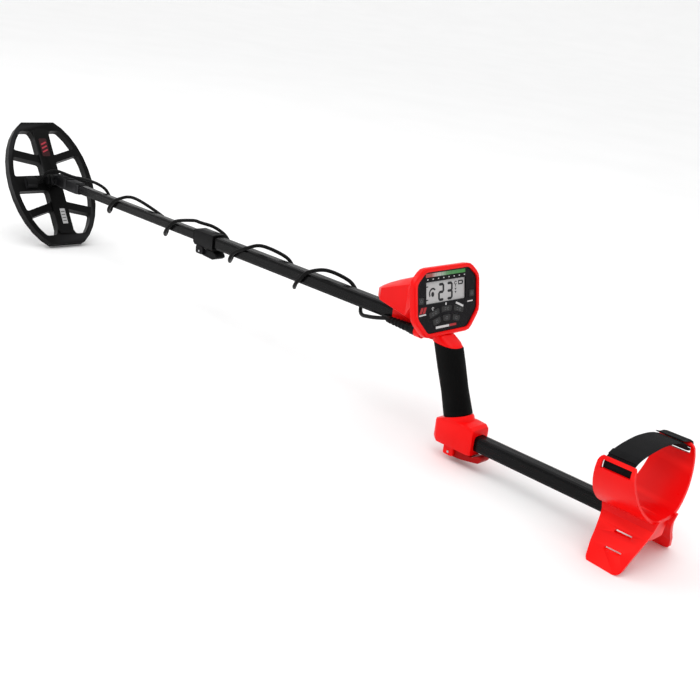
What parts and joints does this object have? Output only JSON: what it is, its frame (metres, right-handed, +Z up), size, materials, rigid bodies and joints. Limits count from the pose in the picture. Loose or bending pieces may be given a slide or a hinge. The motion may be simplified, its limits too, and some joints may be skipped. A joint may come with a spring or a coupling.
{
  "type": "metal detector",
  "caption": "Hand-held metal detector: open oval search coil on a tilting yoke, telescopic shaft with wound cable, control pod over a pistol grip, and a strapped arm cuff with splayed feet.",
  "frame": {"origin": "bottom centre of the bounding box, on the ground plane that the coil heel and the two cuff feet stand on", "axes": "+Y from the arm cuff towards the coil's toe, +X to the user's right, +Z up; the straight shaft points 2.4 degrees nose-down"},
  "size_m": [0.169, 1.4314, 0.2429],
  "materials": {
    "red_plastic": "moulded ABS, glossy, faint moulding texture",
    "black_plastic": "moulded nylon, satin, fine texture",
    "black_tube": "aluminium tube, gloss black powder coat",
    "lower_stem": "glass-filled plastic tube, gloss black, non-magnetic so that the coil does not sense it",
    "black_rubber": "matt black rubber",
    "grip_rubber": "moulded rubber, ribbed, matt",
    "key_rubber": "grey silicone keys, matt",
    "steel": "plated steel",
    "copper": "enamelled copper wire, taped",
    "webbing": "woven nylon webbing, 35 mm wide",
    "display_glass": "reflective liquid-crystal display, clear front",
    "circuit_board": "green solder mask"
  },
  "bodies": {
    "hand_unit": {"middle_tube": "black_tube", "front_collar": "black_plastic", "collar_seal": "black_rubber", "front_lock_pin": "steel", "pod_housing": "red_plastic", "bezel": "red_plastic", "display_panel": "black_plastic", "lcd_module": "display_glass", "main_board": "circuit_board", "speaker": "black_plastic", "battery_tray": "black_plastic", "battery_cell_1": "steel", "battery_cell_2": "steel", "battery_cell_3": "steel", "battery_cell_4": "steel", "battery_door_pin": "steel", "cable_socket": "steel", "plug_ring": "black_plastic", "cable_plug": "black_rubber", "handle_core": "red_plastic", "grip_sleeve": "grip_rubber", "base_housing": "red_plastic", "rear_lock_pin": "steel", "cable_on_middle_tube": "black_rubber"},
    "lower_shaft": {"yoke": "black_plastic", "lower_tube": "lower_stem", "lower_tube_bush": "black_plastic", "cable_on_lower_shaft": "black_rubber"},
    "coil": {"coil_top_shell": "black_plastic", "coil_skid_plate": "black_plastic", "transmit_winding": "copper", "receive_winding": "copper", "coil_bolt": "black_plastic", "coil_nut": "black_plastic", "coil_washer_left": "black_rubber", "coil_washer_right": "black_rubber", "coil_cable_gland": "black_rubber", "cable_at_coil": "black_rubber"},
    "rear_shaft": {"rear_tube": "black_tube", "rear_tube_cap": "black_plastic", "arm_cuff": "red_plastic", "cuff_screw": "steel", "cuff_nut": "steel", "arm_strap": "webbing", "strap_fold": "webbing"},
    "front_lever": {"front_lock_lever": "black_plastic"},
    "rear_lever": {"rear_lock_lever": "red_plastic"},
    "door": {"battery_door": "red_plastic"},
    "key_light_cap": {"key_light": "key_rubber"},
    "key_power_cap": {"key_power": "key_rubber"},
    "key_upper_1_cap": {"key_upper_1": "key_rubber"},
    "key_upper_2_cap": {"key_upper_2": "key_rubber"},
    "key_upper_3_cap": {"key_upper_3": "key_rubber"},
    "key_lower_1_cap": {"key_lower_1": "key_rubber"},
    "key_lower_2_cap": {"key_lower_2": "key_rubber"},
    "key_lower_3_cap": {"key_lower_3": "key_rubber"}
  },
  "joints": [
    {"name": "lower_shaft_slide", "type": "slide", "parent": "hand_unit", "child": "lower_shaft", "axis": [0, 0.9992, -0.0411], "range_m": [-0.26, 0], "deforming": ["cable_on_lower_shaft"]},
    {"name": "coil_tilt", "type": "hinge", "parent": "lower_shaft", "child": "coil", "pos_m": [0, 0.62181, 0.118], "axis": [1, 0, 0], "range_deg": [-46, 40], "deforming": ["cable_at_coil"]},
    {"name": "rear_shaft_slide", "type": "slide", "parent": "hand_unit", "child": "rear_shaft", "axis": [0, 0.9992, -0.0411], "range_m": [0, 0.175]},
    {"name": "front_lever_open", "type": "hinge", "parent": "hand_unit", "child": "front_lever", "pos_m": [0, 0.14479, 0.11783], "axis": [1, 0, 0], "range_deg": [0, 100]},
    {"name": "rear_lever_open", "type": "hinge", "parent": "hand_unit", "child": "rear_lever", "pos_m": [0, -0.41405, 0.01154], "axis": [1, 0, 0], "range_deg": [0, 100]},
    {"name": "battery_door_open", "type": "hinge", "parent": "hand_unit", "child": "door", "pos_m": [0.0348, -0.28477, 0.18586], "axis": [0, 0.0411, 0.9992], "range_deg": [0, 110]},
    {"name": "key_light_press", "type": "slide", "parent": "hand_unit", "child": "key_light_cap", "axis": [0, 0.9743, -0.2253], "range_m": [0, 0.0008], "stiffness_N_per_m": 1500, "springref_m": -0.0003},
    {"name": "key_power_press", "type": "slide", "parent": "hand_unit", "child": "key_power_cap", "axis": [0, 0.9743, -0.2253], "range_m": [0, 0.0008], "stiffness_N_per_m": 1500, "springref_m": -0.0003},
    {"name": "key_upper_1_press", "type": "slide", "parent": "hand_unit", "child": "key_upper_1_cap", "axis": [0, 0.9743, -0.2253], "range_m": [0, 0.0008], "stiffness_N_per_m": 1500, "springref_m": -0.0003},
    {"name": "key_upper_2_press", "type": "slide", "parent": "hand_unit", "child": "key_upper_2_cap", "axis": [0, 0.9743, -0.2253], "range_m": [0, 0.0008], "stiffness_N_per_m": 1500, "springref_m": -0.0003},
    {"name": "key_upper_3_press", "type": "slide", "parent": "hand_unit", "child": "key_upper_3_cap", "axis": [0, 0.9743, -0.2253], "range_m": [0, 0.0008], "stiffness_N_per_m": 1500, "springref_m": -0.0003},
    {"name": "key_lower_1_press", "type": "slide", "parent": "hand_unit", "child": "key_lower_1_cap", "axis": [0, 0.9743, -0.2253], "range_m": [0, 0.0008], "stiffness_N_per_m": 1500, "springref_m": -0.0003},
    {"name": "key_lower_2_press", "type": "slide", "parent": "hand_unit", "child": "key_lower_2_cap", "axis": [0, 0.9743, -0.2253], "range_m": [0, 0.0008], "stiffness_N_per_m": 1500, "springref_m": -0.0003},
    {"name": "key_lower_3_press", "type": "slide", "parent": "hand_unit", "child": "key_lower_3_cap", "axis": [0, 0.9743, -0.2253], "range_m": [0, 0.0008], "stiffness_N_per_m": 1500, "springref_m": -0.0003}
  ]
}
